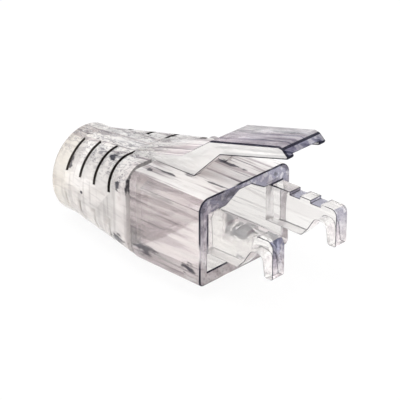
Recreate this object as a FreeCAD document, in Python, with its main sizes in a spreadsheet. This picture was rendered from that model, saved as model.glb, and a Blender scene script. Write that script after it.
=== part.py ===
import FreeCAD, Part
import math
import os
import Sketcher

# Strain relief boot for a modular network plug: one clear moulding, in millimetres.
# X runs forward, from the cable end to the hooks. The origin is the middle of the plug mouth.
doc = FreeCAD.newDocument("strain_relief_boot")
sheet = doc.addObject("Spreadsheet::Sheet", "sizes")


# A length that knows its number and the cell formula it stands for.
class Length:
    def __init__(self, number, text):
        self.number = number
        self.text = text

    def __add__(self, other):
        other = as_length(other)
        return Length(self.number + other.number, f"({self.text} + {other.text})")

    def __sub__(self, other):
        other = as_length(other)
        return Length(self.number - other.number, f"({self.text} - {other.text})")

    def __rsub__(self, other):
        return as_length(other) - self

    def __mul__(self, factor):
        factor = as_length(factor)
        return Length(self.number * factor.number, f"({self.text} * {factor.text})")

    def __truediv__(self, divisor):
        divisor = as_length(divisor)
        return Length(self.number / divisor.number, f"({self.text} / {divisor.text})")

    def __neg__(self):
        return Length(-self.number, f"(0 - {self.text})")


def as_length(value):
    return value if isinstance(value, Length) else Length(value, str(value))


def cos_of(angle):
    return Length(math.cos(math.radians(angle.number)), f"cos({angle.text})")


def sin_of(angle):
    return Length(math.sin(math.radians(angle.number)), f"sin({angle.text})")


def size(name, number):
    row = size.row
    size.row += 1
    sheet.set(f"A{row}", name)
    sheet.set(f"B{row}", str(number))
    sheet.setAlias(f"B{row}", name)
    return Length(number, f"sizes.{name}")


size.row = 1

# Plug cavity and the walls round it
cavity_width = size("cavity_width", 11.9)
cavity_height = size("cavity_height", 6.9)
cavity_depth = size("cavity_depth", 9.6)
side_wall = size("side_wall", 1.2)
roof_wall = size("roof_wall", 1.9)
floor_wall = size("floor_wall", 1.5)
hood_length = size("hood_length", 10.6)
hood_top_corner = size("hood_top_corner", 1.4)
hood_corner = size("hood_corner", 0.6)
heel_radius = size("heel_radius", 1.5)

# Channel in the roof for the foot of the plug's latch
channel_foot_width = size("channel_foot_width", 6.1)
channel_top_width = size("channel_top_width", 1.9)
channel_rise = size("channel_rise", 1.15)

# Flexible tail, its cable bore and the funnel between bore and cavity
tail_length = size("tail_length", 15.2)
tail_end_radius = size("tail_end_radius", 5.4)
tail_drop = size("tail_drop", 1.25)
tail_belly = size("tail_belly", 0.7)
tail_shoulder = size("tail_shoulder", 2.2)
band_length = size("band_length", 2.3)
band_edge = size("band_edge", 0.4)
bore_radius = size("bore_radius", 3.3)
bore_length = size("bore_length", 8.7)
funnel_width = size("funnel_width", 9.0)
funnel_height = size("funnel_height", 6.0)
funnel_corner = size("funnel_corner", 1.0)

# Slots that let the tail bend, and the gap between its last rib and the hood
slot_first = size("slot_first", 2.65)
slot_pitch = size("slot_pitch", 2.87)
slot_width = size("slot_width", 0.5)
slot_count = size("slot_count", 4)
slot_low_angle = size("slot_low_angle", 23.0)
slot_high_angle = size("slot_high_angle", 74.0)
slot_apex = size("slot_apex", 0.5)
slot_reach = size("slot_reach", 12.0)
low_slot_width = size("low_slot_width", 0.3)
low_slot_low_angle = size("low_slot_low_angle", 50.0)
low_slot_high_angle = size("low_slot_high_angle", 6.0)
gap_width = size("gap_width", 0.8)
core_wall = size("core_wall", 1.0)

# Spine on the tail, and the latch guard that it runs up into
spine_rise = size("spine_rise", 1.7)
spine_slope = size("spine_slope", 0.26)
guard_width = size("guard_width", 5.9)
guard_root = size("guard_root", 6.8)
guard_bend = size("guard_bend", 2.4)
guard_bend_height = size("guard_bend_height", 4.93)
guard_reach = size("guard_reach", 7.1)
guard_height = size("guard_height", 7.3)
guard_nose_length = size("guard_nose_length", 0.6)
guard_nose_drop = size("guard_nose_drop", 0.1)
guard_tip_length = size("guard_tip_length", 0.65)
guard_tip_drop = size("guard_tip_drop", 0.65)
guard_plate = size("guard_plate", 0.93)
guard_web = size("guard_web", 0.95)
guard_web_bend = size("guard_web_bend", 1.2)
guard_web_level = size("guard_web_level", 3.6)
guard_lip_reach = size("guard_lip_reach", 0.25)
guard_lip_drop = size("guard_lip_drop", 0.15)
guard_lip_depth = size("guard_lip_depth", 0.5)
guard_throat = size("guard_throat", 5.3)
hollow_bend = size("hollow_bend", 2.0)
hollow_root = size("hollow_root", 7.0)
hollow_rise = size("hollow_rise", 0.45)

# Arms with their hooks
arm_thickness = size("arm_thickness", 1.8)
arm_root = size("arm_root", 0.8)
arm_reach = size("arm_reach", 9.3)
hook_width = size("hook_width", 1.15)
hook_drop = size("hook_drop", 4.45)
hook_throat_height = size("hook_throat_height", 2.05)
hook_throat_width = size("hook_throat_width", 1.5)
hook_slant = size("hook_slant", 0.35)
hook_throat_round = size("hook_throat_round", 0.7)
hook_soft_edge = size("hook_soft_edge", 0.3)
lobe_gap = size("lobe_gap", 1.0)
lobe_drop = size("lobe_drop", 4.65)
lobe_slant = size("lobe_slant", 0.9)
lobe_slant_rise = size("lobe_slant_rise", 1.0)
arm_corner = size("arm_corner", 0.8)
arm_soft_edge = size("arm_soft_edge", 0.4)
notch_depth = size("notch_depth", 0.35)
front_notch_back = size("front_notch_back", 2.25)
front_notch_length = size("front_notch_length", 1.4)
rear_notch_back = size("rear_notch_back", 5.2)
rear_notch_length = size("rear_notch_length", 1.4)

# Levels and places that follow from the sizes
cavity_top = cavity_height / 2
roof = cavity_top + roof_wall
underside = -(cavity_top + floor_wall)
hood_side = cavity_width / 2 + side_wall
cable_level = -tail_drop
cable_end = -(hood_length + tail_length)
channel_top = cavity_top + channel_rise
spine_top = roof + spine_rise
spine_back = cable_end + tail_length / 2
guard_half = guard_width / 2
throat_level = cavity_top - hook_throat_height
hook_bottom = cavity_top - hook_drop
hook_back = arm_reach - hook_width
throat_front = hook_back - hook_slant
throat_back = throat_front - hook_throat_width
lobe_bottom = cavity_top - lobe_drop
slant_top = throat_back - lobe_gap
slant_top_level = lobe_bottom + lobe_slant_rise
lobe_front = slant_top - lobe_slant
guard_top = roof + guard_height
guard_front = guard_reach + guard_nose_length + guard_tip_length
guard_tip = guard_top - guard_tip_drop

# How far a joined shape reaches into its neighbour, how far a cut runs past the part,
# and the short flat left on a round section so that it has eight edges to loft from
overlap = 0.4
past_everything = 20.0
round_flat = 0.05

body = doc.addObject("PartDesign::Body", "boot")
body.Label = "strain_relief_boot"
doc.recompute()


def origin_plane(role):
    for feature in body.Origin.OriginFeatures:
        if feature.Role == role:
            return feature
    raise RuntimeError(f"no {role}")


def new_sketch(name, role, offset=0.0):
    sketch = body.newObject("Sketcher::SketchObject", name)
    sketch.AttachmentSupport = [(origin_plane(role), "")]
    sketch.MapMode = "FlatFace"
    sketch.setExpression("AttachmentOffset.Base.z", as_length(offset).text)
    return sketch


# Across the part: a sketch's own axes are Y and Z, and its offset is the place along X.
def cross_sketch(name, place=0.0):
    return new_sketch(name, "YZ_Plane", place)


# Along the part: a sketch's own axes are X and Z, and its offset runs towards -Y.
def side_sketch(name, place=0.0):
    return new_sketch(name, "XZ_Plane", place)


def pin_point(sketch, edge, end, across, up):
    for kind, length in (("DistanceX", across), ("DistanceY", up)):
        number = length.number
        index = sketch.addConstraint(Sketcher.Constraint(kind, -1, 1, edge, end, number))
        sketch.setExpression(f"Constraints[{index}]", length.text)


def pin_one(sketch, kind, edge, end, length):
    index = sketch.addConstraint(Sketcher.Constraint(kind, -1, 1, edge, end, length.number))
    sketch.setExpression(f"Constraints[{index}]", length.text)


# A closed outline of straight edges through the given points.
def draw_outline(sketch, points):
    points = [(as_length(a), as_length(b)) for a, b in points]
    first = sketch.GeometryCount
    count = len(points)
    for i in range(count):
        a, b = points[i], points[(i + 1) % count]
        start = FreeCAD.Vector(a[0].number, a[1].number, 0)
        end = FreeCAD.Vector(b[0].number, b[1].number, 0)
        sketch.addGeometry(Part.LineSegment(start, end))
    for i in range(count):
        after = first + (i + 1) % count
        sketch.addConstraint(Sketcher.Constraint("Coincident", first + i, 2, after, 1))
    for i in range(count):
        pin_point(sketch, first + i, 1, *points[i])


# A rectangle with rounded corners: eight edges, so that two of them loft well.
def draw_rounded_box(sketch, half_width, bottom, top, radius, top_radius=None):
    top_radius = top_radius or radius
    w, low, high = half_width.number, bottom.number, top.number
    r, t = radius.number, top_radius.number
    corners = (
        (w - t, high - t, t, 0.0),
        (t - w, high - t, t, 90.0),
        (r - w, low + r, r, 180.0),
        (w - r, low + r, r, 270.0),
    )
    ends = []
    for x, y, corner, angle in corners:
        circle = Part.Circle(FreeCAD.Vector(x, y, 0), FreeCAD.Vector(0, 0, 1), corner)
        arc = Part.ArcOfCircle(circle, math.radians(angle), math.radians(angle + 90))
        ends.append((sketch.addGeometry(arc), arc.StartPoint, arc.EndPoint))
    lines = []
    for i in range(4):
        this, following = ends[i], ends[(i + 1) % 4]
        lines.append(sketch.addGeometry(Part.LineSegment(this[2], following[1])))
    for i in range(4):
        this, following = ends[i][0], ends[(i + 1) % 4][0]
        sketch.addConstraint(Sketcher.Constraint("Tangent", this, 2, lines[i], 1))
        sketch.addConstraint(Sketcher.Constraint("Tangent", lines[i], 2, following, 1))
    sketch.addConstraint(Sketcher.Constraint("Equal", ends[0][0], ends[1][0]))
    sketch.addConstraint(Sketcher.Constraint("Equal", ends[2][0], ends[3][0]))
    sketch.addConstraint(Sketcher.Constraint("Horizontal", lines[0]))
    sketch.addConstraint(Sketcher.Constraint("Vertical", lines[1]))
    for end, length in ((ends[0], top_radius), (ends[2], radius)):
        index = sketch.addConstraint(Sketcher.Constraint("Radius", end[0], length.number))
        sketch.setExpression(f"Constraints[{index}]", length.text)
    pin_one(sketch, "DistanceY", lines[0], 1, top)
    pin_one(sketch, "DistanceX", lines[1], 1, -half_width)
    pin_one(sketch, "DistanceY", lines[2], 1, bottom)
    pin_one(sketch, "DistanceX", lines[3], 1, half_width)


# A circle round the cable's line with short flats, so that it too has eight edges.
def draw_near_circle(sketch, radius):
    draw_rounded_box(sketch, radius, cable_level - radius, cable_level + radius, radius - round_flat)


def draw_circle(sketch, radius):
    centre = FreeCAD.Vector(0, cable_level.number, 0)
    edge = sketch.addGeometry(Part.Circle(centre, FreeCAD.Vector(0, 0, 1), radius.number))
    pin_point(sketch, edge, 3, as_length(0.0), cable_level)
    index = sketch.addConstraint(Sketcher.Constraint("Radius", edge, radius.number))
    sketch.setExpression(f"Constraints[{index}]", radius.text)


def add_feature(kind, name, sketch, **settings):
    feature = body.newObject(f"PartDesign::{kind}", name)
    feature.Profile = sketch
    sketch.Visibility = False
    for key, value in settings.items():
        setattr(feature, key, value)
    return feature


def pad(name, sketch, length, **settings):
    feature = add_feature("Pad", name, sketch, **settings)
    feature.setExpression("Length", as_length(length).text)
    return finish_feature(feature, grows=True)


def pocket(name, sketch, length, **settings):
    feature = add_feature("Pocket", name, sketch, **settings)
    feature.setExpression("Length", as_length(length).text)
    return finish_feature(feature, grows=False)


# Each step has to change the solid the way it is meant to.
def finish_feature(feature, grows):
    before = finish_feature.volume
    doc.recompute()
    after = feature.Shape.Volume
    if "Invalid" in feature.State or (after > before) != grows or abs(after - before) < 1e-6:
        raise RuntimeError(f"{feature.Name} gave {after:.2f} from {before:.2f}: {feature.State}")
    finish_feature.volume = after
    print(f"{feature.Name}: {after - before:+.2f} mm3")
    return feature


finish_feature.volume = 0.0


def dress_edges(kind, name, base, edges, setting, length):
    feature = body.newObject(f"PartDesign::{kind}", name)
    feature.Base = (base, edges)
    feature.setExpression(setting, length.text)
    doc.recompute()
    finish_feature.volume = feature.Shape.Volume
    return feature


def fillet(name, base, edges, radius):
    return dress_edges("Fillet", name, base, edges, "Radius", radius)


# Names of a feature's straight edges along one axis whose middle passes a test.
def straight_edges(feature, axis, test):
    names = []
    for i, edge in enumerate(feature.Shape.Edges, 1):
        if edge.Degenerated or not isinstance(edge.Curve, Part.Line):
            continue
        run = edge.Vertexes[-1].Point - edge.Vertexes[0].Point
        if abs(abs(run.normalize().dot(axis)) - 1) < 1e-6 and test(edge.CenterOfMass):
            names.append(f"Edge{i}")
    return names


ACROSS = FreeCAD.Vector(0, 1, 0)


def close(a, b):
    return abs(a - as_length(b).number) < 1e-4


# The waste outside the heel: a square corner whose inner side is an arc, pinned by its centre and radius
def draw_heel(sketch):
    inner = heel_radius - hood_length
    level = underside + heel_radius
    outer = -hood_length - overlap
    low = underside - overlap
    x, z, r = inner.number, level.number, heel_radius.number
    path = (
        (x, z - r),
        (x, low.number),
        (outer.number, low.number),
        (outer.number, z),
        (x - r, z),
    )
    for start, end in zip(path, path[1:]):
        sketch.addGeometry(Part.LineSegment(FreeCAD.Vector(*start, 0), FreeCAD.Vector(*end, 0)))
    circle = Part.Circle(FreeCAD.Vector(x, z, 0), FreeCAD.Vector(0, 0, 1), r)
    arc = sketch.addGeometry(Part.ArcOfCircle(circle, math.pi, math.pi * 1.5))
    for i in range(3):
        sketch.addConstraint(Sketcher.Constraint("Coincident", i, 2, i + 1, 1))
    sketch.addConstraint(Sketcher.Constraint("Coincident", 3, 2, arc, 1))
    sketch.addConstraint(Sketcher.Constraint("Coincident", arc, 2, 0, 1))
    sketch.addConstraint(Sketcher.Constraint("Vertical", 0))
    sketch.addConstraint(Sketcher.Constraint("Horizontal", 3))
    pin_point(sketch, 1, 1, inner, low)
    pin_point(sketch, 2, 1, outer, low)
    pin_point(sketch, 3, 1, outer, level)
    pin_one(sketch, "DistanceX", arc, 3, inner)
    pin_one(sketch, "DistanceY", arc, 3, level)
    index = sketch.addConstraint(Sketcher.Constraint("Radius", arc, r))
    sketch.setExpression(f"Constraints[{index}]", heel_radius.text)


# Hood: a rounded box with a generous heel radius at its rear lower edge
def make_hood():
    sketch = cross_sketch("hood_section")
    draw_rounded_box(sketch, hood_side, underside, roof, hood_corner, hood_top_corner)
    pad("hood", sketch, hood_length, Reversed=True)
    heel = side_sketch("hood_heel_profile")
    draw_heel(heel)
    return pocket("hood_heel", heel, past_everything, Midplane=True)


# Tail: a straight round band at the cable end, then a loft out to the hood's section
def make_tail():
    band = cross_sketch("band_circle", cable_end)
    draw_circle(band, tail_end_radius)
    band_pad = pad("band", band, band_length)
    small = cross_sketch("tail_small_end", cable_end + band_length)
    draw_near_circle(small, tail_end_radius)
    large = cross_sketch("tail_large_end", -hood_length)
    draw_rounded_box(large, hood_side, underside - tail_belly, roof, tail_shoulder)
    loft = add_feature("AdditiveLoft", "tail", small, Ruled=True)
    loft.Sections = [large]
    large.Visibility = False
    return finish_feature(loft, grows=True)


# Spine and guard: one side profile, rising along the tail, up from the roof and forward to the nose
def make_guard():
    back_level = spine_top - (-guard_root - spine_back) * spine_slope
    profile = (
        (spine_back, back_level - overlap),
        (spine_back, back_level),
        (-guard_root, spine_top),
        (-guard_bend, roof + guard_bend_height),
        (guard_reach, guard_top),
        (guard_reach + guard_nose_length, guard_top - guard_nose_drop),
        (guard_front, guard_tip),
        (guard_front + guard_lip_reach, guard_tip - guard_lip_drop),
        (guard_front, guard_tip - guard_lip_depth),
        (-guard_web_bend, roof + guard_web_level),
        (-guard_throat, roof - overlap),
        (-hood_length, roof - overlap),
    )
    sketch = side_sketch("guard_profile")
    draw_outline(sketch, profile)
    return pad("guard", sketch, guard_width, Midplane=True)


# Hollow under the guard, which leaves a thin plate with a web down each side and a lip at each front corner
def hollow_guard():
    slope = (guard_height - guard_bend_height) / (guard_reach + guard_bend)
    plate_under = guard_top - guard_plate
    past_front = guard_front + guard_lip_reach + overlap
    profile = (
        (guard_front, guard_tip),
        (guard_reach, plate_under),
        (-hollow_bend, plate_under - (guard_reach + hollow_bend) * slope),
        (-hollow_root, roof + hollow_rise),
        (-hollow_root, roof),
        (past_front, roof),
        (past_front, guard_tip),
    )
    sketch = side_sketch("guard_hollow_profile")
    draw_outline(sketch, profile)
    return pocket("guard_hollow", sketch, guard_width - guard_web * 2, Midplane=True)


# Plug cavity with the latch channel in its roof
def cut_cavity():
    half = cavity_width / 2
    foot = channel_foot_width / 2
    top = channel_top_width / 2
    outline = (
        (-half, -cavity_top),
        (half, -cavity_top),
        (half, cavity_top),
        (foot, cavity_top),
        (top, channel_top),
        (-top, channel_top),
        (-foot, cavity_top),
        (-half, cavity_top),
    )
    sketch = cross_sketch("cavity_section")
    draw_outline(sketch, outline)
    return pocket("cavity", sketch, cavity_depth)


# Funnel from the cavity's back down to the cable bore, then the bore
def cut_cable_way():
    mouth = cross_sketch("funnel_mouth", -cavity_depth)
    draw_rounded_box(mouth, funnel_width / 2, -funnel_height / 2, funnel_height / 2, funnel_corner)
    narrow = cross_sketch("funnel_narrow_end", cable_end + bore_length)
    draw_near_circle(narrow, bore_radius)
    loft = add_feature("SubtractiveLoft", "funnel", mouth, Ruled=True)
    loft.Sections = [narrow]
    narrow.Visibility = False
    finish_feature(loft, grows=False)
    sketch = cross_sketch("bore_circle", cable_end)
    draw_circle(sketch, bore_radius)
    return pocket("cable_bore", sketch, bore_length, Reversed=True)


# Slots through the tail's wall on both sides, repeated along it
def cut_slots():
    pockets = []
    for name, width, low, high in (
        ("upper_slot", slot_width, slot_low_angle, slot_high_angle),
        ("lower_slot", low_slot_width, -low_slot_low_angle, -low_slot_high_angle),
    ):
        sketch = cross_sketch(f"{name}_wedges", cable_end + slot_first)
        for side in (1, -1):
            apex = slot_apex * side
            corners = [(apex, cable_level)]
            for angle in (low, high):
                across = cos_of(angle) * slot_reach * side
                corners.append((apex + across, cable_level + sin_of(angle) * slot_reach))
            draw_outline(sketch, corners)
        pockets.append(pocket(name, sketch, width, Midplane=True))
    pattern = body.newObject("PartDesign::LinearPattern", "slot_rows")
    pattern.Originals = pockets
    pattern.Direction = (cross_sketch("slot_direction"), ["N_Axis"])
    pattern.setExpression("Length", (slot_pitch * (slot_count - 1)).text)
    pattern.setExpression("Occurrences", slot_count.text)
    body.Tip = pattern
    return finish_feature(pattern, grows=False)


# Gap in the tail behind the hood, cut in to a core and leaving the spine whole
def cut_hood_gap():
    core_half = funnel_width / 2 + core_wall
    core_top = funnel_height / 2 + core_wall
    core_bottom = -core_top
    far = as_length(past_everything)
    outline = (
        (guard_half, far),
        (far, far),
        (far, -far),
        (-far, -far),
        (-far, far),
        (-guard_half, far),
        (-guard_half, core_top),
        (-core_half, core_top),
        (-core_half, core_bottom),
        (core_half, core_bottom),
        (core_half, core_top),
        (guard_half, core_top),
    )
    sketch = cross_sketch("hood_gap_section", -hood_length)
    draw_outline(sketch, outline)
    return pocket("hood_gap", sketch, gap_width)


# Arms: a lobe behind and a hook in front, one each side against the inside of the hood's walls
def make_arms():
    outer = cavity_width / 2
    profile = (
        (-arm_root, cavity_top),
        (arm_reach, cavity_top),
        (arm_reach, hook_bottom),
        (hook_back, hook_bottom),
        (throat_front, throat_level),
        (throat_back, throat_level),
        (slant_top, slant_top_level),
        (lobe_front, lobe_bottom),
        (-arm_root, lobe_bottom),
    )
    sketch = side_sketch("arm_profile", -outer)
    draw_outline(sketch, profile)
    arm = pad("arm", sketch, arm_thickness)
    notches = side_sketch("arm_notches_profile", -outer)
    above = cavity_top + overlap
    below = cavity_top - notch_depth
    for back, length in ((front_notch_back, front_notch_length), (rear_notch_back, rear_notch_length)):
        end = arm_reach - back
        start = end - length
        draw_outline(notches, ((start, below), (end, below), (end, above), (start, above)))
    cut = pocket("arm_notches", notches, arm_thickness, Reversed=True)
    pair = mirror_across("arm_pair", [arm, cut])
    finish_feature(pair, grows=True)
    round_arms(pair)


def mirror_across(name, originals):
    feature = body.newObject("PartDesign::Mirrored", name)
    feature.Originals = originals
    feature.MirrorPlane = (origin_plane("XZ_Plane"), [""])
    body.Tip = feature
    return feature


# Round the arms' corners: the nose most, the throat as an arch, and the rest a little
def round_arms(pair):
    groups = (
        ("arm_nose", arm_corner, ((arm_reach, cavity_top),)),
        ("hook_throat", hook_throat_round, ((throat_front, throat_level), (throat_back, throat_level))),
        ("hook_foot", hook_soft_edge, ((arm_reach, hook_bottom), (hook_back, hook_bottom))),
        ("lobe_corners", arm_soft_edge, ((lobe_front, lobe_bottom), (slant_top, slant_top_level))),
    )
    base = pair
    for name, radius, corners in groups:
        edges = []
        for x, z in corners:
            edges += straight_edges(base, ACROSS, lambda p: close(p.x, x) and close(p.z, z))
        base = fillet(name, base, edges, radius)


# Take the sharp edge off the cable end's rim
def ease_band():
    rim = []
    for i, edge in enumerate(body.Shape.Edges, 1):
        if edge.Degenerated or not isinstance(edge.Curve, Part.Circle):
            continue
        if close(edge.CenterOfMass.x, cable_end):
            rim.append(f"Edge{i}")
    return dress_edges("Chamfer", "band_rim", body.Tip, rim, "Size", band_edge)


make_hood()
make_tail()
ease_band()
make_guard()
hollow_guard()
cut_cavity()
cut_cable_way()
cut_slots()
cut_hood_gap()
make_arms()
doc.recompute()

# Every object has to be sound before the part is written
for item in doc.Objects:
    if "Invalid" in item.State or "Error" in item.State:
        raise RuntimeError(f"{item.Name} is {item.State}")
    if not item.TypeId.startswith("PartDesign::"):
        continue
    shape = item.Shape
    if shape.isNull() or not shape.isValid():
        raise RuntimeError(f"{item.Name} has no sound shape")
print(body.Shape.BoundBox, "solids:", len(body.Shape.Solids), "volume:", round(body.Shape.Volume, 1))
os.makedirs("parts", exist_ok=True)
body.Shape.exportStep(f"parts/{body.Label}.step")
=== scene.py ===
import bpy
import bmesh
import math
import numpy as np
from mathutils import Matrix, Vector


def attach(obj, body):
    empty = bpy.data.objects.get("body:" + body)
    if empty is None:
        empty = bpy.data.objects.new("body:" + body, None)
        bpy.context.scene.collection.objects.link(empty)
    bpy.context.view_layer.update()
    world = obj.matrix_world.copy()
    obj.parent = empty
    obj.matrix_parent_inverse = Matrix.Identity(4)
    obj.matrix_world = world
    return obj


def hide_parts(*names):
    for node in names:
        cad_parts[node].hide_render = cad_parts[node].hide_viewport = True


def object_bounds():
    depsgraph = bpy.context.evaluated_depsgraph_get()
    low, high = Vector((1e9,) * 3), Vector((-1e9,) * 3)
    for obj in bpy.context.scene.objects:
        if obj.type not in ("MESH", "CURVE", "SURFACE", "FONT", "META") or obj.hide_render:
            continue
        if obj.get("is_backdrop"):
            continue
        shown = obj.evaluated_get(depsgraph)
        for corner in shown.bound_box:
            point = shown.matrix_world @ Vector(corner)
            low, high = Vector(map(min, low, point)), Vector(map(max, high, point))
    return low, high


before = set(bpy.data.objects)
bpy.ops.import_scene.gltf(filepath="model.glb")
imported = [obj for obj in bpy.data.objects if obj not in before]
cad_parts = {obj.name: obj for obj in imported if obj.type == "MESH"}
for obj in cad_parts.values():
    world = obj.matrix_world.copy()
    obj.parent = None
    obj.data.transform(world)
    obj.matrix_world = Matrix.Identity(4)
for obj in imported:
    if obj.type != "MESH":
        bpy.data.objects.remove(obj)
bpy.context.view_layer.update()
scene = bpy.context.scene
perMetre = 1000.0  # millimetres
print("frame loaded")

# camera: aims at a point on the hood, from the photograph's height and side
cameraValues = {
    "azimuth": 43.66,
    "elevation": 26.32,
    "distance": 0.1937,
    "aim": (-0.0050, 0.0, 0.00205),
    "lens": 158.7,
    "sensor": 36.0,
    "shift": (-0.0303, -0.0145),
    "clipStart": 0.005,
    "bounces": 32,
}


# a lamp or camera at one place that looks along a direction
def aimed(name, data, place, direction):
    thing = bpy.data.objects.new(name, data)
    thing.location = place
    thing.rotation_euler = direction.to_track_quat("-Z", "Y").to_euler()
    scene.collection.objects.link(thing)
    return thing


def makeCamera(values):
    turn, lift = math.radians(values["azimuth"]), math.radians(values["elevation"])
    level = math.cos(lift)
    back = Vector((math.sin(turn) * level, -math.cos(turn) * level, math.sin(lift)))
    data = bpy.data.cameras.new("studioCamera")
    data.lens = values["lens"]
    data.sensor_width = values["sensor"]
    data.shift_x, data.shift_y = values["shift"]
    data.clip_start = values["clipStart"]
    place = Vector(values["aim"]) + back * values["distance"]
    scene.camera = aimed("studioCamera", data, place, -back)
    scene.view_settings.view_transform = "Standard"
    scene.cycles.max_bounces = values["bounces"]
    scene.cycles.transmission_bounces = values["bounces"]


makeCamera(cameraValues)
print("camera set")


def newMaterial(name):
    material = bpy.data.materials.new(name)
    material.use_nodes = True
    material.node_tree.nodes.clear()
    return material, material.node_tree.nodes, material.node_tree.links


def addNode(nodes, kind, **settings):
    node = nodes.new(kind)
    for key, value in settings.items():
        setattr(node, key, value)
    return node


# one step of arithmetic on numbers and links
def reckoned(nodes, links, operation, *inputs):
    node = addNode(nodes, "ShaderNodeMath", operation=operation)
    for socket, value in zip(node.inputs, inputs):
        if isinstance(value, float):
            socket.default_value = value
        else:
            links.new(value, socket)
    return node.outputs[0]


# clear plastic: a milky glass whose tints, many of them painted shade and highlights, are laid over
# each other by their shares
plasticValues = {
    "ior": 1.14,
    "transmission": {"hood": 0.78, "milky": 0.45, "edge": 0.35},
    "depthColour": (0.45, 0.40, 0.52, 1.0),
    "depthDensity": 1.0,
    "waveStrength": {"hood": 0.1, "milky": 0.35, "edge": 0.1},
    "waveDepth": 0.001,
    "roughRange": (0.3, 0.7),
    "roughness": (0.0, 0.09),
    # base tints, and where along X one gives way to the next
    "hoodTint": (1.0, 0.915, 0.922, 1.0),
    "tailTint": (1.0, 0.965, 0.94, 1.0),
    "tailRange": (-0.008, -0.014),
    "bandTint": (1.0, 0.945, 0.87, 1.0),
    "bandRange": (-0.0215, -0.0245),
    "paleTint": (1.0, 0.985, 0.965, 1.0),
    # streaks along the moulding, painted shade (streak, hair) and painted highlights (gleam); above
    # streakTop they follow the guard's slope
    "streakTop": 0.0058,
    "streakScale": (70.0, 1000.0, 1000.0),
    "streakDetail": 3.0,
    "streakRange": (0.52, 0.60),
    "streakTint": (0.31, 0.25, 0.275, 1.0),
    "gleamRange": (0.48, 0.40),
    "gleamTint": (1.0, 0.99, 0.98, 1.0),
    "hairScale": (110.0, 2400.0, 2400.0),
    "hairDetail": 1.0,
    "hairRange": (0.60, 0.68),
    "hairTint": (0.10, 0.09, 0.13, 1.0),
    # rings round the tail
    "ringScale": (1500.0, 160.0, 160.0),
    "ringDetail": 1.0,
    "ringRange": (0.54, 0.64),
    "ringShare": 0.35,
    "ringTint": (0.50, 0.46, 0.46, 1.0),
    # painted dark reflections mottling the tail's top, and painted reflection lines there, dark and
    # light: level, half width and tint
    "topRange": (0.0015, 0.0042),
    "mottleScale": (450.0, 1150.0, 1150.0),
    "mottleDetail": 4.0,
    "mottleRange": (0.56, 0.68),
    "mottleShare": 0.75,
    "mottleReflectionTint": (0.20, 0.19, 0.23, 1.0),
    "reflectionLines": ((0.46, 0.014, "hair"), (0.50, 0.010, "hair"), (0.48, 0.012, "gleam")),
    "reflectionLineShare": 0.85,
    "reflectionLineCore": 0.4,
    # painted slate shade with paler flecks on the rims
    "slateShadeTint": (0.155, 0.16, 0.27, 1.0),
    "fleckTint": (0.72, 0.72, 0.80, 1.0),
    "fleckRange": (0.50, 0.62),
    "fleckShare": 0.7,
    # painted shade inside the slots
    "slotRange": (0.05, 0.8),
    "slotShadeTint": (0.010, 0.008, 0.007, 1.0),
    # ragged borders of the painted shade and highlight marks
    "raggedScale": (900.0, 2200.0, 2200.0),
    "raggedDetail": 3.0,
    "raggedness": 2.2,
    "markSoftness": {"gleam": 0.6, "warmShade": 2.2, "shadeMark": 0.6},
    "shadeMarkTint": (0.06, 0.06, 0.08, 1.0),
    "warmShadeTint": (0.42, 0.27, 0.25, 1.0),
    # the softened edges, with painted dark lines of shade
    "edgeScale": (200.0, 200.0, 200.0),
    "edgeDetail": 1.0,
    "edgeRange": (0.28, 0.44),
    "edgeShadeTint": (0.02, 0.02, 0.035, 1.0),
}
# painted shade, marks of lost light: centre and reach in millimetres, and the share in the middle
shadeMarks = (
    ((-8.3, -7.15, -3.4), (2.1, 0.6, 0.85), 0.95),
    ((-1.7, -7.15, -3.1), (1.4, 0.6, 0.7), 1.0),
    ((-6.4, -7.15, 3.8), (3.6, 0.6, 0.25), 0.35),
    ((-16.05, -4.35, 4.5), (0.85, 0.8, 0.5), 1.0),
    ((-13.1, -6.8, 2.8), (0.6, 0.6, 0.75), 0.95),
    ((-11.2, -6.5, 3.2), (0.6, 0.9, 1.4), 1.0),
    ((-22.8, -4.7, 1.8), (0.5, 1.1, 1.2), 0.9),
    ((-19.9, -5.9, -0.7), (0.3, 0.4, 0.3), 1.0),
    ((-13.3, -6.6, -3.9), (1.6, 0.9, 0.9), 0.9),
    ((-21.5, 0.4, 4.3), (1.4, 1.6, 0.5), 0.3),
    ((-16.3, -1.4, 4.8), (0.7, 0.4, 0.3), 0.7),
    ((-9.5, -5.1, 5.3), (0.55, 0.5, 0.5), 1.0),
    ((-7.6, -4.4, 5.35), (1.9, 0.24, 0.4), 0.95),
    ((-5.2, -3.2, 5.4), (1.0, 0.3, 0.3), 0.8),
    ((-1.8, -2.9, 5.35), (1.7, 0.24, 0.4), 0.85),
    ((-4.2, 1.9, 5.35), (2.9, 0.35, 0.4), 1.0),
    ((0.0, -6.6, 4.2), (0.3, 0.4, 0.8), 0.8),
    ((0.0, 4.8, 4.57), (0.4, 0.4, 0.32), 0.9),
    ((0.0, -2.4, 4.6), (0.4, 1.0, 0.35), 0.7),
)
# painted warm shade, laid out the same way
warmShadeMarks = (
    ((-8.4, -7.15, 3.2), (1.9, 0.6, 0.6), 0.6),
    ((-5.2, -7.15, 2.3), (3.2, 0.6, 0.35), 0.4),
    ((-12.6, -6.9, 1.4), (0.8, 0.6, 1.6), 0.5),
    ((2.6, -2.6, 11.4), (2.4, 0.5, 0.8), 0.35),
    ((3.2, 0.6, 11.6), (3.0, 0.5, 0.9), 0.4),
)
# painted highlights, marks of pooled light, laid out the same way
gleamMarks = (
    ((-1.3, -7.15, -4.3), (1.4, 0.6, 0.4), 0.9),
    ((-3.5, -1.0, 5.35), (3.6, 0.3, 0.4), 0.95),
    ((-3.6, 0.5, 5.35), (3.6, 0.3, 0.4), 0.85),
    ((-6.5, -3.7, 5.35), (2.4, 0.25, 0.4), 0.8),
    ((-14.2, -6.0, -4.4), (1.2, 1.2, 0.9), 0.7),
)


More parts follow.
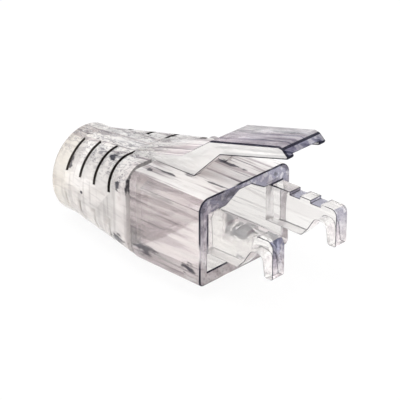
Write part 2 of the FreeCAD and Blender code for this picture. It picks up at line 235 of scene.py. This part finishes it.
# a noise stretched along the axes
def stretched(nodes, links, place, values, key):
    mapping = addNode(nodes, "ShaderNodeMapping")
    mapping.inputs["Scale"].default_value = values[f"{key}Scale"]
    links.new(place, mapping.inputs["Vector"])
    noise = addNode(nodes, "ShaderNodeTexNoise")
    noise.inputs["Scale"].default_value = 1.0
    noise.inputs["Detail"].default_value = values[f"{key}Detail"]
    links.new(mapping.outputs[0], noise.inputs["Vector"])
    return noise.outputs[0]


# a smooth step from start at low to end at high
def ranged(nodes, links, value, low, high, start=0.0, end=1.0):
    node = addNode(nodes, "ShaderNodeMapRange", interpolation_type="SMOOTHSTEP")
    for key, number in (("From Min", low), ("From Max", high), ("To Min", start), ("To Max", end)):
        node.inputs[key].default_value = number
    links.new(value, node.inputs["Value"])
    return node.outputs[0]


# a thin line wherever a noise passes one level
def contour(nodes, links, value, level, width, core):
    off = reckoned(nodes, links, "ABSOLUTE", reckoned(nodes, links, "SUBTRACT", value, level))
    return ranged(nodes, links, off, width, width * core)


def times(nodes, links, first, *others):
    for other in others:
        first = reckoned(nodes, links, "MULTIPLY", first, other)
    return first


# one colour laid over another by a share; inputs 6 and 7 are the colours
def tinted(nodes, links, share, under, over):
    node = addNode(nodes, "ShaderNodeMix", data_type="RGBA")
    for socket, value in ((node.inputs[6], under), (node.inputs[7], over)):
        if isinstance(value, tuple):
            socket.default_value = value
        else:
            links.new(value, socket)
    links.new(share, node.inputs[0])
    return node.outputs[2]


# The share of a group of painted shade or highlight marks: each is an oval, full in the middle and
# nothing outside, whose border a noise pushes in and out. Where ovals meet, the greater share
# counts.
def marked(nodes, links, place, ragged, marks, softness, raggedness):
    share = None
    far = 1.0 + raggedness / 2
    for centre, reach, weight in marks:
        mapping = addNode(nodes, "ShaderNodeMapping")
        mapping.inputs["Location"].default_value = [-c / r for c, r in zip(centre, reach)]
        mapping.inputs["Scale"].default_value = [perMetre / r for r in reach]
        links.new(place, mapping.inputs["Vector"])
        length = addNode(nodes, "ShaderNodeVectorMath", operation="LENGTH")
        links.new(mapping.outputs[0], length.inputs[0])
        away = reckoned(nodes, links, "MULTIPLY_ADD", ragged, raggedness, length.outputs["Value"])
        one = ranged(nodes, links, away, far, far - softness, 0.0, weight)
        share = one if share is None else reckoned(nodes, links, "MAXIMUM", share, one)
    return share


# The plastic's colour: a base tint by place, then painted streaks of shade and highlight, rings,
# painted mottling and reflection lines, painted slate shade, painted shade and highlight marks,
# painted slot shade and painted edge shade, each laid over the ones before by its share.
def plasticColour(nodes, links, values, part, place, axes, along, streak, mottle):
    zone = addNode(nodes, "ShaderNodeAttribute", attribute_name="zone")
    shares = addNode(nodes, "ShaderNodeSeparateColor")
    links.new(zone.outputs["Color"], shares.inputs[0])
    slateShadeShare, slotShadeShare, paleShare = shares.outputs
    streakShare = zone.outputs["Alpha"]

    def step(value, key):
        return ranged(nodes, links, value, *values[f"{key}Range"])

    onTail = step(axes.outputs["X"], "tail")
    onTop = step(axes.outputs["Z"], "top")
    colour = tinted(nodes, links, onTail, values["hoodTint"], values["tailTint"])
    colour = tinted(nodes, links, step(axes.outputs["X"], "band"), colour, values["bandTint"])
    colour = tinted(nodes, links, paleShare, colour, values["paleTint"])
    hair = stretched(nodes, links, along, values, "hair")
    # painted shade and highlight streaks along the moulding
    for key, pattern in (("streak", streak), ("gleam", streak), ("hair", hair)):
        share = times(nodes, links, step(pattern, key), streakShare)
        colour = tinted(nodes, links, share, colour, values[f"{key}Tint"])
    ring = step(stretched(nodes, links, place, values, "ring"), "ring")
    rings = times(nodes, links, ring, values["ringShare"], onTail)
    colour = tinted(nodes, links, rings, colour, values["ringTint"])
    # painted dark reflections mottling the tail's top
    mottles = times(nodes, links, step(mottle, "mottle"), values["mottleShare"], onTail, onTop)
    colour = tinted(nodes, links, mottles, colour, values["mottleReflectionTint"])
    # painted reflection lines on the tail's top, dark ones and light ones
    for level, width, key in values["reflectionLines"]:
        line = contour(nodes, links, mottle, level, width, values["reflectionLineCore"])
        line = times(nodes, links, line, values["reflectionLineShare"], onTail, onTop)
        colour = tinted(nodes, links, line, colour, values[f"{key}Tint"])
    # painted slate shade with paler flecks, laid over the colour by its share
    flecks = times(nodes, links, step(mottle, "fleck"), values["fleckShare"])
    slate = tinted(nodes, links, flecks, values["slateShadeTint"], values["fleckTint"])
    colour = tinted(nodes, links, slateShadeShare, colour, slate)
    ragged = stretched(nodes, links, place, values, "ragged")
    # painted highlights, warm shade and shade, each in ragged ovals
    for marks, key in ((gleamMarks, "gleam"), (warmShadeMarks, "warmShade"), (shadeMarks, "shadeMark")):
        softness = values["markSoftness"][key]
        share = marked(nodes, links, place, ragged, marks, softness, values["raggedness"])
        colour = tinted(nodes, links, share, colour, values[f"{key}Tint"])
    # painted shade in the slots and on the gap's walls
    colour = tinted(nodes, links, step(slotShadeShare, "slot"), colour, values["slotShadeTint"])
    if part == "edge":
        # painted dark lines of shade along the softened edges
        lines = step(stretched(nodes, links, place, values, "edge"), "edge")
        colour = tinted(nodes, links, lines, colour, values["edgeShadeTint"])
    return colour


def makeClearPlastic(name, values, part):
    material, nodes, links = newMaterial(name)
    out = addNode(nodes, "ShaderNodeOutputMaterial")
    shader = addNode(nodes, "ShaderNodeBsdfPrincipled")
    shader.inputs["Transmission Weight"].default_value = values["transmission"][part]
    shader.inputs["IOR"].default_value = values["ior"]
    depth = addNode(nodes, "ShaderNodeVolumeAbsorption")
    depth.inputs["Color"].default_value = values["depthColour"]
    depth.inputs["Density"].default_value = values["depthDensity"]
    place = addNode(nodes, "ShaderNodeTexCoord").outputs["Object"]
    axes = addNode(nodes, "ShaderNodeSeparateXYZ")
    links.new(place, axes.inputs[0])
    held = reckoned(nodes, links, "MINIMUM", axes.outputs["Z"], values["streakTop"])
    join = addNode(nodes, "ShaderNodeCombineXYZ")
    for axis, value in (("X", axes.outputs["X"]), ("Y", axes.outputs["Y"]), ("Z", held)):
        links.new(value, join.inputs[axis])
    along = join.outputs[0]
    streak = stretched(nodes, links, along, values, "streak")
    mottle = stretched(nodes, links, place, values, "mottle")
    colour = plasticColour(nodes, links, values, part, place, axes, along, streak, mottle)
    links.new(colour, shader.inputs["Base Color"])
    rough = ranged(nodes, links, streak, *values["roughRange"], *values["roughness"])
    links.new(rough, shader.inputs["Roughness"])
    bump = addNode(nodes, "ShaderNodeBump")
    bump.inputs["Strength"].default_value = values["waveStrength"][part]
    bump.inputs["Distance"].default_value = values["waveDepth"]
    links.new(mottle, bump.inputs["Height"])
    links.new(bump.outputs[0], shader.inputs["Normal"])
    links.new(shader.outputs[0], out.inputs["Surface"])
    links.new(depth.outputs[0], out.inputs["Volume"])
    return material


# boot: a merged copy of the moulding, its flat faces joined and its edges a little soft
bootValues = {
    # how squarely a face has to look along an axis to count
    "noseFacing": 0.3,
    "frontFacing": 0.35,
    "mostly": 0.6,
    "squarely": 0.9,
    "wallFacing": 0.95,
    # heights
    "roof": 0.00535,
    "roofSlack": 1e-4,
    "guardAbove": 0.002,
    "websAbove": 2e-4,
    "armTop": 0.00345,
    "notchDepths": (1e-4, 5e-4),
    "armsBelow": 0.0035,
    "cavityBelow": 0.0047,
    "lowRimBelow": -0.003,
    "lowSlotsBelow": -0.001,
    "cableDrop": 0.00125,
    # places along X
    "frontFrom": 0.0080,
    "noseFrom": 0.0060,
    "notchFrom": 0.0008,
    "rimSlack": 2e-4,
    "armFrom": -0.001,
    "stepFrom": -0.0097,
    "hoodFrom": -0.0105,
    "sideStreaksFrom": -0.011,
    "tailFrom": -0.0112,
    "gapSpan": (-0.0115, -0.0105),
    "slotSpan": (-0.0245, -0.0125),
    "slotHalf": 0.0006,
    # distances from the middle plane
    "insideReach": 0.006,
    "cavityReach": 0.0061,
    "farSideFrom": 0.0065,
    # painted slate shade: height and share
    "frontFade": ((-0.0006, 0.0012), (0.08, 1.0)),
    "rimFade": ((-0.0045, 0.0, 0.0035), (0.08, 0.6, 0.9)),
    "farFront": 0.75,
    "notchShade": 0.85,
    "noseShade": 0.95,
    "guardShade": 0.5,
    # painted slot shade: how far out it starts, then each slot's place and its shares below and
    # above
    "slotDepth": (0.0043, 0.0050),
    "slotHeights": (0.001, 0.004),
    "slotShades": (
        (-0.0229, 1.0, 0.8),
        (-0.0200, 0.8, 1.0),
        (-0.0172, 0.75, 0.95),
        (-0.0143, 1.0, 0.8),
    ),
    "lowSlotShade": 0.15,
    "gapFade": ((0.0, 0.004), (0.1, 0.5)),
    # pale, and the painted streaks of shade and highlight
    "roofPale": 0.85,
    "streaks": {"roof": 0.6, "top": 0.8, "side": 0.45, "faint": 0.15},
    # the mesh
    "mergeDistance": 2e-6,
    "flatAngle": 0.5,
    "edgeWidth": 0.00018,
    "edgeSegments": 2,
    "edgeAngle": 28.0,
    "edgeSlot": 2,
    # boxes by low and high corner in millimetres, then the share of the full width of the edges
    # in them; the first box counts
    "lines": (
        ((-27.0, -8.0, -8.0), (-10.5, 8.0, 8.0), 0.0),
        ((-1.0, -6.2, 1.8), (6.8, -3.9, 4.0), 0.0),
        ((-9.8, -6.2, -3.6), (-0.5, 6.2, 5.0), 0.2),
        ((-0.1, -8.0, -6.0), (0.1, 8.0, 6.0), 0.8),
        ((0.1, -6.2, -3.0), (9.5, 6.2, 4.0), 0.35),
        ((-2.6, -3.1, 10.1), (9.5, 3.1, 13.0), 1.0),
        ((-15.0, -3.1, 5.0), (9.5, 3.1, 13.0), 0.35),
    ),
}


def within(numbers, span):
    return (numbers > span[0]) & (numbers < span[1])


# The share of painted slate shade: on the rim and on fronts that look forward, fading downwards, on
# the guard's nose and top, and on the far arm's notches.
def slateShadeShares(x, y, z, nx, nz, high, values):
    rim = (np.abs(x) < values["rimSlack"]) & (nx > values["mostly"])
    fronts = (x > values["frontFrom"]) & (nx > values["frontFacing"])
    nose = (x > values["noseFrom"]) & (z > values["roof"]) & (nx > values["noseFacing"])
    guardTop = (nz > values["squarely"]) & (z > values["roof"] + values["guardAbove"])
    least, most = values["notchDepths"]
    top = values["armTop"]
    sunk = (x > values["notchFrom"]) & within(z, (top - most, top - least))
    notches = sunk & ((nz > values["mostly"]) | (np.abs(nx) > values["squarely"]))
    slate = np.where(notches & (y > 0), values["notchShade"], 0.0)
    frontShade = np.interp(high, *values["frontFade"]) * np.where(y > 0, values["farFront"], 1.0)
    slate = np.where(fronts, frontShade, slate)
    slate = np.where(rim, np.interp(high, *values["rimFade"]), slate)
    slate = np.where(nose, values["noseShade"], slate)
    return np.where(guardTop, values["guardShade"], slate)


# The share of painted slot shade: on slot walls near the outer surface, changing with height as
# each slot's two shades say, faint on the lower slots, and on the gap's walls towards the top.
def slotShadeShares(x, z, nx, high, out, values):
    walls = np.abs(nx) > values["wallFacing"]
    slots = within(x, values["slotSpan"]) & walls
    gap = within(x, values["gapSpan"]) & walls
    outside = np.interp(out, values["slotDepth"], (0.0, 1.0))
    dark = np.where(slots & (z < values["lowSlotsBelow"]), values["lowSlotShade"] * outside, 0.0)
    for place, low, top in values["slotShades"]:
        shade = np.interp(high, values["slotHeights"], (low, top))
        here = slots & (z > values["lowSlotsBelow"]) & (np.abs(x - place) < values["slotHalf"])
        dark = np.where(here, shade * outside, dark)
    return np.where(gap, np.interp(high, *values["gapFade"]), dark)


# The shares of pale and of painted streaks of shade and highlight: pale on the arms, the mouth's
# inside, the far side and the near arm's top, a little less on the roof and the guard's webs;
# streaks strongest on what looks up.
def paleShares(x, y, z, nx, ny, nz, values):
    flat = np.abs(ny) > values["squarely"]
    webs = (z > values["roof"] + values["websAbove"]) & flat
    inside = (np.abs(y) < values["insideReach"]) & flat & (x > values["stepFrom"])
    farSide = (y > values["farSideFrom"]) & (ny > values["squarely"]) & (x > values["stepFrom"])
    rim = (np.abs(x) < values["rimSlack"]) & (nx > values["mostly"])
    arms = (x > values["armFrom"]) & (z < values["armsBelow"]) & flat
    up = nz > values["squarely"]
    level = np.abs(z - values["roof"]) < values["roofSlack"]
    roof = up & level & (x > values["hoodFrom"])
    low = z < values["armTop"] + values["roofSlack"]
    nearTops = (x > values["armFrom"]) & (y < 0) & low & (nz > values["mostly"])
    tall = np.abs(nz) > values["mostly"]
    cavity = (np.abs(y) < values["cavityReach"]) & tall & (x > values["hoodFrom"])
    cavity &= z < values["cavityBelow"]
    clear = (rim & (z < values["lowRimBelow"])) | arms | inside | farSide | nearTops | cavity
    pale = np.where(clear, 1.0, np.where(roof | webs, values["roofPale"], 0.0))
    share = values["streaks"]
    tops = np.where(roof | (x < values["hoodFrom"]), share["roof"], share["top"])
    sides = np.where(x > values["sideStreaksFrom"], share["side"], share["faint"])
    streaks = np.where(up, tops, sides)
    return pale, np.where(inside | arms | nearTops | cavity, share["faint"], streaks)


# each corner's shares of painted slate shade, painted slot shade, pale and painted streaks, from
# where its face lies and looks
def zoneShares(centres, normals, corners, values):
    x, y, z = centres.T
    nx, ny, nz = normals.T
    high = corners[:, 2]
    out = np.hypot(corners[:, 1], high + values["cableDrop"])
    slate = slateShadeShares(x, y, z, nx, nz, high, values)
    dark = slotShadeShares(x, z, nx, high, out, values)
    return np.column_stack([slate, dark, *paleShares(x, y, z, nx, ny, nz, values)])


# the mesh with its doubles merged, its flat faces joined, and a share of softening on sharp edges
def cleanMesh(source, values):
    mesh = source.data.copy()
    mesh.name = "boot"
    work = bmesh.new()
    work.from_mesh(mesh)
    bmesh.ops.remove_doubles(work, verts=work.verts, dist=values["mergeDistance"])
    flat = math.radians(values["flatAngle"])
    bmesh.ops.dissolve_limit(work, angle_limit=flat, verts=work.verts, edges=work.edges)
    weight = work.edges.layers.float.new("bevel_weight_edge")
    sharp = math.radians(values["edgeAngle"])
    for edge in work.edges:
        if edge.is_manifold and edge.calc_face_angle() > sharp:
            middle = (edge.verts[0].co + edge.verts[1].co) * perMetre / 2
            edge[weight] = next(
                (share for low, high, share in values["lines"]
                 if all(a <= m <= b for a, m, b in zip(low, middle, high))),
                1.0,
            )
    print("open edges", sum(not e.is_manifold for e in work.edges), "faces", len(work.faces))
    work.to_mesh(mesh)
    work.free()
    return mesh


def readArray(items, name, count, kind=float):
    numbers = np.empty(count, kind)
    items.foreach_get(name, numbers)
    return numbers


def makeBoot(values, materials):
    mesh = cleanMesh(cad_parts["strain_relief_boot"], values)
    mesh.materials.clear()
    for material in materials:
        mesh.materials.append(material)
    boot = bpy.data.objects.new("boot", mesh)
    scene.collection.objects.link(boot)
    count = len(mesh.polygons)
    centres = readArray(mesh.polygons, "center", count * 3).reshape(-1, 3)
    normals = readArray(mesh.polygons, "normal", count * 3).reshape(-1, 3)
    sides = readArray(mesh.polygons, "loop_total", count, int)
    points = readArray(mesh.vertices, "co", len(mesh.vertices) * 3).reshape(-1, 3)
    ends = readArray(mesh.loops, "vertex_index", len(mesh.loops), int)
    above = centres[:, 2] - values["roof"]
    webs = (above > 0) & (np.abs(normals[:, 1]) > values["squarely"])
    roof = (np.abs(above) < values["roofSlack"]) & (normals[:, 2] > values["squarely"])
    milky = (centres[:, 0] < values["tailFrom"]) | webs | roof
    mesh.polygons.foreach_set("material_index", milky.astype(np.int32))
    centres, normals = (np.repeat(a, sides, axis=0) for a in (centres, normals))
    zone = mesh.color_attributes.new("zone", "FLOAT_COLOR", "CORNER")
    zone.data.foreach_set("color", zoneShares(centres, normals, points[ends], values).ravel())
    mesh.polygons.foreach_set("use_smooth", np.ones(count, bool))
    bevel = boot.modifiers.new("softEdges", "BEVEL")
    bevel.width = values["edgeWidth"]
    bevel.segments = values["edgeSegments"]
    bevel.limit_method = "WEIGHT"
    bevel.use_clamp_overlap = False
    bevel.harden_normals = True
    # the bevel's faces take the material with the painted edge shade
    bevel.material = values["edgeSlot"]
    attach(boot, "root")
    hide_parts("strain_relief_boot")


clearPlastic = makeClearPlastic("clearPlastic", plasticValues, "hood")
clearTail = makeClearPlastic("clearTail", plasticValues, "milky")
clearEdge = makeClearPlastic("clearEdge", plasticValues, "edge")
makeBoot(bootValues, (clearPlastic, clearTail, clearEdge))
print("boot made")

# studio: pale floor, white surroundings and one soft lamp above
studioValues = {
    "white": (1.0, 1.0, 1.0, 1.0),
    "floorSize": 3.0,
    "floorGap": 0.0002,
    "floorColour": (0.93, 0.93, 0.93, 1.0),
    "floorGlow": 1.0,
    "floorWhiteShare": 0.9,
    "worldFill": 1.0,
    "lampPower": 0.65,
    "lampSize": 0.25,
    "lampPlace": (0.05, -0.12, 0.35),
}


# one for rays that see plain white: from the camera, off a glossy surface or through a clear one
def whiteRays(nodes, links):
    ray = addNode(nodes, "ShaderNodeLightPath").outputs
    clear = reckoned(nodes, links, "MAXIMUM", ray["Is Glossy Ray"], ray["Is Transmission Ray"])
    return reckoned(nodes, links, "MAXIMUM", ray["Is Camera Ray"], clear)


def makeWorld(values):
    world = bpy.data.worlds.new("studioWorld")
    world.use_nodes = True
    scene.world = world
    nodes, links = world.node_tree.nodes, world.node_tree.links
    nodes.clear()
    out = addNode(nodes, "ShaderNodeOutputWorld")
    strength = addNode(nodes, "ShaderNodeMapRange")
    strength.inputs["To Min"].default_value = values["worldFill"]
    links.new(whiteRays(nodes, links), strength.inputs["Value"])
    light = addNode(nodes, "ShaderNodeBackground")
    light.inputs["Color"].default_value = values["white"]
    links.new(strength.outputs[0], light.inputs["Strength"])
    links.new(light.outputs[0], out.inputs["Surface"])


def makeFloor(values):
    material, nodes, links = newMaterial("floorWhite")
    out = addNode(nodes, "ShaderNodeOutputMaterial")
    paint = addNode(nodes, "ShaderNodeBsdfDiffuse")
    paint.inputs["Color"].default_value = values["floorColour"]
    glow = addNode(nodes, "ShaderNodeEmission")
    glow.inputs["Strength"].default_value = values["floorGlow"]
    mix = addNode(nodes, "ShaderNodeMixShader")
    share = times(nodes, links, whiteRays(nodes, links), values["floorWhiteShare"])
    for i, value in enumerate((share, paint.outputs[0], glow.outputs[0])):
        links.new(value, mix.inputs[i])
    links.new(mix.outputs[0], out.inputs["Surface"])
    half = values["floorSize"] / 2
    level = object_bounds()[0][2] - values["floorGap"]
    square = ((-half, -half), (half, -half), (half, half), (-half, half))
    corners = [(x, y, level) for x, y in square]
    mesh = bpy.data.meshes.new("floor")
    mesh.from_pydata(corners, [], [(0, 1, 2, 3)])
    mesh.materials.append(material)
    floor = bpy.data.objects.new("floor", mesh)
    scene.collection.objects.link(floor)
    floor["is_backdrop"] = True


def makeLamp(values):
    data = bpy.data.lights.new("softLamp", "AREA")
    data.shape = "DISK"
    data.size = values["lampSize"]
    data.energy = values["lampPower"]
    place = Vector(values["lampPlace"])
    aimed("softLamp", data, place, -place)


makeWorld(studioValues)
makeFloor(studioValues)
makeLamp(studioValues)
print("studio set")
